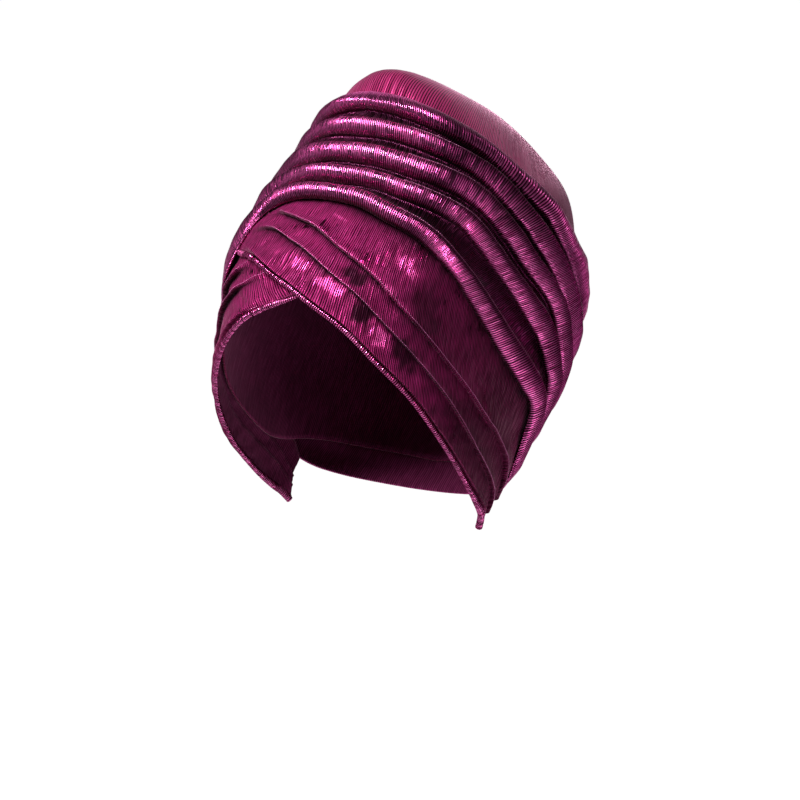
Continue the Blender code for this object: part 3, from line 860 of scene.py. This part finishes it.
# a new geometry tree with named inputs after the geometry, and its first and last node
def geometryTree(name, inputs):
    tree = bpy.data.node_groups.new(name, "GeometryNodeTree")
    tree.interface.new_socket("Geometry", in_out="INPUT", socket_type="NodeSocketGeometry")
    for label, kind in inputs:
        tree.interface.new_socket(label, in_out="INPUT", socket_type=kind)
    tree.interface.new_socket("Geometry", in_out="OUTPUT", socket_type="NodeSocketGeometry")
    return tree, node(tree, "NodeGroupInput"), node(tree, "NodeGroupOutput")


# runs a tree on a line and leaves the result as a plain mesh object
def growAlong(line, tree, values):
    modifier = line.modifiers.new(tree.name, "NODES")
    modifier.node_group = tree
    for item in tree.interface.items_tree:
        if item.in_out == "INPUT" and item.name in values:
            modifier[item.identifier] = values[item.name]
    line.update_tag()
    bpy.context.view_layer.update()
    mesh = bpy.data.meshes.new_from_object(line.evaluated_get(bpy.context.evaluated_depsgraph_get()))
    name = line.name
    bpy.data.objects.remove(line)
    made = bpy.data.objects.new(name, mesh)
    bpy.context.scene.collection.objects.link(made)
    return made


# hem: cloth rolled into a cord, its pleats ringing it
def hemTree():
    tree, start, end = geometryTree(
        "rolledHem",
        [
            ("Roll Diameter", "NodeSocketFloat"),
            ("Pleat Pitch", "NodeSocketFloat"),
            ("Pleat Depth", "NodeSocketFloat"),
            ("Start Width", "NodeSocketFloat"),
            ("End Width", "NodeSocketFloat"),
            ("Cloth", "NodeSocketMaterial"),
        ],
    )
    curve = node(tree, "GeometryNodeMeshToCurve", links={0: start.outputs["Geometry"]})
    step = node(tree, "ShaderNodeMath", {"operation": "DIVIDE", 1: 4}, {0: start.outputs["Pleat Pitch"]})
    fine = node(
        tree, "GeometryNodeResampleCurve", {"mode": "LENGTH"}, {"Curve": curve.outputs[0], "Length": step.outputs[0]}
    )
    where = node(tree, "GeometryNodeSplineParameter")
    share = node(
        tree, "ShaderNodeMath", {"operation": "DIVIDE"}, {0: where.outputs["Length"], 1: start.outputs["Pleat Pitch"]}
    )
    stray = node(tree, "ShaderNodeTexNoise", {"noise_dimensions": "1D", "Scale": 0.31}, {"W": share.outputs[0]})
    turn = node(
        tree, "ShaderNodeMath", {"operation": "MULTIPLY_ADD", 1: 2.5}, {0: stray.outputs["Fac"], 2: share.outputs[0]}
    )
    angle = node(tree, "ShaderNodeMath", {"operation": "MULTIPLY", 1: 2 * math.pi}, {0: turn.outputs[0]})
    wave = node(tree, "ShaderNodeMath", {"operation": "SINE"}, {0: angle.outputs[0]})
    depth = node(
        tree,
        "ShaderNodeMath",
        {"operation": "MULTIPLY_ADD"},
        {0: wave.outputs[0], 1: start.outputs["Pleat Depth"], 2: start.outputs["Roll Diameter"]},
    )
    opening = node(
        tree,
        "ShaderNodeMapRange",
        {"From Min": 0.0, "From Max": 0.07, "To Max": 0.5},
        {"Value": where.outputs["Factor"], "To Min": start.outputs["Start Width"]},
    )
    opening.inputs["To Max"].default_value = 1.0
    tip = node(
        tree,
        "ShaderNodeMapRange",
        {"From Min": 0.80, "From Max": 1.0, "To Min": 1.0},
        {"Value": where.outputs["Factor"], "To Max": start.outputs["End Width"]},
    )
    width = node(
        tree, "ShaderNodeMath", {"operation": "MULTIPLY"}, {0: opening.outputs[0], 1: tip.outputs[0]}
    )
    halfDepth = node(tree, "ShaderNodeMath", {"operation": "MULTIPLY", 1: 0.5}, {0: depth.outputs[0]})
    half = node(tree, "ShaderNodeMath", {"operation": "MULTIPLY"}, {0: halfDepth.outputs[0], 1: width.outputs[0]})
    marked = node(
        tree,
        "GeometryNodeStoreNamedAttribute",
        {"data_type": "FLOAT", "domain": "POINT", "Name": "run"},
        {"Geometry": fine.outputs[0], "Value": where.outputs["Length"]},
    )
    ring = node(tree, "GeometryNodeCurvePrimitiveCircle", {"mode": "RADIUS", "Resolution": 14, "Radius": 1.0})
    tube = node(
        tree,
        "GeometryNodeCurveToMesh",
        {"Fill Caps": True},
        {"Curve": marked.outputs[0], "Profile Curve": ring.outputs[0], "Scale": half.outputs[0]},
    )
    run = node(tree, "GeometryNodeInputNamedAttribute", {"data_type": "FLOAT", "Name": "run"})
    spot = node(tree, "ShaderNodeCombineXYZ", links={"X": run.outputs["Attribute"]})
    mapped = node(
        tree,
        "GeometryNodeStoreNamedAttribute",
        {"data_type": "FLOAT2", "domain": "CORNER", "Name": "cloth"},
        {"Geometry": tube.outputs[0], "Value": spot.outputs[0]},
    )
    soft = node(tree, "GeometryNodeSetShadeSmooth", links={0: mapped.outputs[0]})
    plain = node(tree, "GeometryNodeRealizeInstances", links={0: soft.outputs[0]})
    painted = node(
        tree, "GeometryNodeSetMaterial", links={"Geometry": plain.outputs[0], "Material": start.outputs["Cloth"]}
    )
    tree.links.new(painted.outputs[0], end.inputs[0])
    return tree


# row of stitches: one rounded stitch of thread at each pitch along a line
def stitchTree():
    tree, start, end = geometryTree(
        "stitchRow",
        [
            ("Stitch Pitch", "NodeSocketFloat"),
            ("Stitch Length", "NodeSocketFloat"),
            ("Thread Width", "NodeSocketFloat"),
            ("Thread", "NodeSocketMaterial"),
        ],
    )
    curve = node(tree, "GeometryNodeMeshToCurve", links={0: start.outputs["Geometry"]})
    spots = node(
        tree,
        "GeometryNodeCurveToPoints",
        {"mode": "LENGTH"},
        {"Curve": curve.outputs[0], "Length": start.outputs["Stitch Pitch"]},
    )
    bead = node(tree, "GeometryNodeMeshUVSphere", {"Segments": 6, "Rings": 5, "Radius": 0.5})
    soft = node(tree, "GeometryNodeSetShadeSmooth", links={0: bead.outputs["Mesh"]})
    size = node(
        tree,
        "ShaderNodeCombineXYZ",
        links={
            "X": start.outputs["Thread Width"],
            "Y": start.outputs["Thread Width"],
            "Z": start.outputs["Stitch Length"],
        },
    )
    turn = node(tree, "FunctionNodeAlignRotationToVector", {"axis": "Z"}, {"Vector": spots.outputs["Tangent"]})
    row = node(
        tree,
        "GeometryNodeInstanceOnPoints",
        links={
            "Points": spots.outputs["Points"],
            "Instance": soft.outputs[0],
            "Rotation": turn.outputs[0],
            "Scale": size.outputs[0],
        },
    )
    plain = node(tree, "GeometryNodeRealizeInstances", links={0: row.outputs[0]})
    painted = node(
        tree, "GeometryNodeSetMaterial", links={"Geometry": plain.outputs[0], "Material": start.outputs["Thread"]}
    )
    tree.links.new(painted.outputs[0], end.inputs[0])
    return tree


hemLook = {
    "pleatPitch": 1.3 * mm,
    "pleatDepth": 0.24 * mm,
    "leftStart": 1.0,
    "rightStart": 1.12,
    "spots": 400,
    "startWidth": 0.45,  # share of the roll's diameter at its start, where it comes out from under a band
    "endWidth": 1.35,  # and at the tip
}
stitchLook = {
    "pitch": 2.1 * mm,
    "length": 1.5 * mm,
    "width": 0.55 * mm,
    "aboveHem": 0.9 * mm,  # from the band's edge to the row of stitches
}
# where a fold or pleat is pinched, each fine pleat ends in a bright point
creaseLook = {"pitch": 1.3 * mm, "length": 1.15 * mm, "width": 0.45 * mm}
rolledHem = hemTree()
stitchRow = stitchTree()


def makeHem(name, band, start, startWidth):
    place = np.linspace(start, len(band["swell"]) - 1, hemLook["spots"])
    _, hem, _ = bandLines(band, place)
    lift = outerLift(smooth(band["layers"], place)) - lay["cloth"] + lay["hemDiameter"] / 2
    line = lineObject(name, [lifted(hem[0], levelOf(hem[1]), lift)])
    return growAlong(
        line,
        rolledHem,
        {
            "Roll Diameter": lay["hemDiameter"] - hemLook["pleatDepth"],
            "Pleat Pitch": hemLook["pleatPitch"],
            "Pleat Depth": hemLook["pleatDepth"],
            "Start Width": startWidth,
            "End Width": hemLook["endWidth"],
            "Cloth": materials["hem"],
        },
    )


# a row of stitches along a band at a share across it
def makeBandStitches(name, band, start, offset):
    place = np.linspace(start, len(band["swell"]) - 1.05, hemLook["spots"])
    top, hem, length = bandLines(band, place)
    share = 1 - (lay["hemDiameter"] / 2 + lay["hemGap"] + offset) / length
    angle = top[0] + (hem[0] - top[0]) * share
    height = top[1] + (hem[1] - top[1]) * share
    swell, layers = smooth(band["swell"], place), smooth(band["layers"], place)
    lift = outerLift(layers) + lay["pleatRise"] * 0.62 * swell
    return sew(name, [lifted(angle, levelOf(height), lift)], stitchLook)


def sew(name, strands, look):
    return growAlong(
        lineObject(name, strands),
        stitchRow,
        {
            "Stitch Pitch": look["pitch"],
            "Stitch Length": look["length"],
            "Thread Width": look["width"],
            "Thread": materials["thread"],
        },
    )


print("crown")
crownCloth = makeCrown()
print("drape")
drapeFolds, foldCreases = makeDrape()
print("bands")
bandLeft, leftCreases = makeBand("band_left_cloth", leftBand, 11, 0.28, paintedHighlightAndShadePatches)
bandRight, rightCreases = makeBand("band_right_cloth", rightBand, 23, 0.10)
print("hems and stitches")
hemLeft = makeHem("hem_left_roll", leftBand, hemLook["leftStart"], 1.0)
hemRight = makeHem("hem_right_roll", rightBand, hemLook["rightStart"], hemLook["startWidth"])
stitchesLeft = makeBandStitches("hem_left_stitches", leftBand, hemLook["leftStart"], stitchLook["aboveHem"])
stitchesRight = makeBandStitches("hem_right_stitches", rightBand, 2.2, stitchLook["aboveHem"])
foldPoints = sew("fold_crease_points", foldCreases, creaseLook)
leftPoints = sew("band_left_crease_points", [line[60:-12] for line in leftCreases], creaseLook)
rightPoints = sew("band_right_crease_points", [line[60:-12] for line in rightCreases], creaseLook)

pairs = [
    (crownCloth, "crown", "crown"),
    (drapeFolds, "drape", "drape"),
    (bandLeft, "front_band_left", "front_band"),
    (bandRight, "front_band_right", "front_band"),
    (hemLeft, "hem_left", "hem"),
    (hemRight, "hem_right", "hem"),
]
for piece, cadNode, slotName in pairs:
    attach(piece, rootBody)
    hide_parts(cadNode)
sewn = [
    (stitchesLeft, "hem"),
    (stitchesRight, "hem"),
    (foldPoints, "drape"),
    (leftPoints, "front_band"),
    (rightPoints, "front_band"),
]
for piece, slotName in sewn:
    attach(piece, rootBody)

# studio: pale floor far below the turban, soft lamps and the camera at the photograph's angle
studio = {
    "floorDrop": 1.1,
    "floorSize": 120.0,
    "floorGlowSpan": (0.8, 2.8),  # the floor glows, painted light, from this far behind the turban, and fully from here on
    "floorGlow": 0.95,
    "air": 0.06,
    "cameraAzimuth": 34,
    "cameraElevation": 10,
    "cameraDistance": 1.6,
    "target": (12.1 * mm, 8.2 * mm, 0),
    "fieldWidth": 467.8 * mm,  # what the picture's width spans at the target
    "sensor": 36.0,
}


def direction(azimuth, elevation):
    a, e = math.radians(azimuth), math.radians(elevation)
    return np.array([math.sin(a) * math.cos(e), -math.cos(a) * math.cos(e), math.sin(e)])


def aim(thing, place, target):
    thing.location = place
    thing.rotation_euler = (Vector(target) - Vector(place)).to_track_quat("-Z", "Y").to_euler()


def makeLamp(name, azimuth, elevation, distance, size, power):
    lamp = bpy.data.lights.new(name, "AREA")
    lamp.shape = "RECTANGLE"
    lamp.size, lamp.size_y = size
    lamp.energy = power
    made = bpy.data.objects.new(name, lamp)
    bpy.context.scene.collection.objects.link(made)
    aim(made, tuple(direction(azimuth, elevation) * distance), (0, 0, 60 * mm))
    return made


def makeStudio():
    mesh = bpy.data.meshes.new("floor")
    half = studio["floorSize"] / 2
    low = cadBox[0][2] - studio["floorDrop"]
    mesh.from_pydata([(-half, -half, low), (half, -half, low), (half, half, low), (-half, half, low)], [], [(0, 1, 2, 3)])
    paint = bpy.data.materials.new("matPalePaint")
    paint.use_nodes = True
    shader = paint.node_tree.nodes["Principled BSDF"]
    shader.inputs["Base Color"].default_value = linear("#fbfbfb")
    shader.inputs["Roughness"].default_value = 0.9
    shader.inputs["Emission Color"].default_value = (1, 1, 1, 1)
    # painted light: the floor glows by its own emission, dim under the turban and bright far behind it
    place = node(paint.node_tree, "ShaderNodeTexCoord")
    backward = tuple(-direction(studio["cameraAzimuth"], 0))
    behind = node(
        paint.node_tree, "ShaderNodeVectorMath", {"operation": "DOT_PRODUCT", 1: backward}, {0: place.outputs["Object"]}
    )
    near, full = studio["floorGlowSpan"]
    glow = node(
        paint.node_tree,
        "ShaderNodeMapRange",
        {"From Min": near, "From Max": full, "To Min": 0.05, "To Max": studio["floorGlow"]},
        {"Value": behind.outputs["Value"]},
    )
    paint.node_tree.links.new(glow.outputs[0], shader.inputs["Emission Strength"])
    mesh.materials.append(paint)
    floor = bpy.data.objects.new("floor", mesh)
    bpy.context.scene.collection.objects.link(floor)
    world = bpy.data.worlds.new("studioAir")
    world.use_nodes = True
    world.node_tree.nodes["Background"].inputs["Color"].default_value = (1, 1, 1, 1)
    world.node_tree.nodes["Background"].inputs["Strength"].default_value = studio["air"]
    bpy.context.scene.world = world
    makeLamp("keySoftbox", -5, 50, 1.5, (0.26, 0.9), 46)
    makeLamp("frontFill", -35, 8, 2.2, (0.8, 0.8), 2)
    makeLamp("lowBounce", 138, -56, 1.0, (0.5, 0.5), 2.0)
    makeLamp("rightRim", 149, 18, 1.8, (0.4, 0.6), 1.8)
    makeLamp("topSoftbox", -150, 70, 1.8, (0.9, 0.9), 0.8)
    makeLamp("leftEdge", -85, 25, 1.8, (0.5, 1.2), 1.0)
    camera = bpy.data.cameras.new("camera")
    camera.sensor_width = studio["sensor"]
    camera.lens = studio["sensor"] * studio["cameraDistance"] / studio["fieldWidth"]
    made = bpy.data.objects.new("camera", camera)
    bpy.context.scene.collection.objects.link(made)
    place = np.array(studio["target"]) + direction(studio["cameraAzimuth"], studio["cameraElevation"]) * studio["cameraDistance"]
    aim(made, tuple(place), studio["target"])
    bpy.context.scene.camera = made
    bpy.context.scene.view_settings.view_transform = "Standard"


makeStudio()
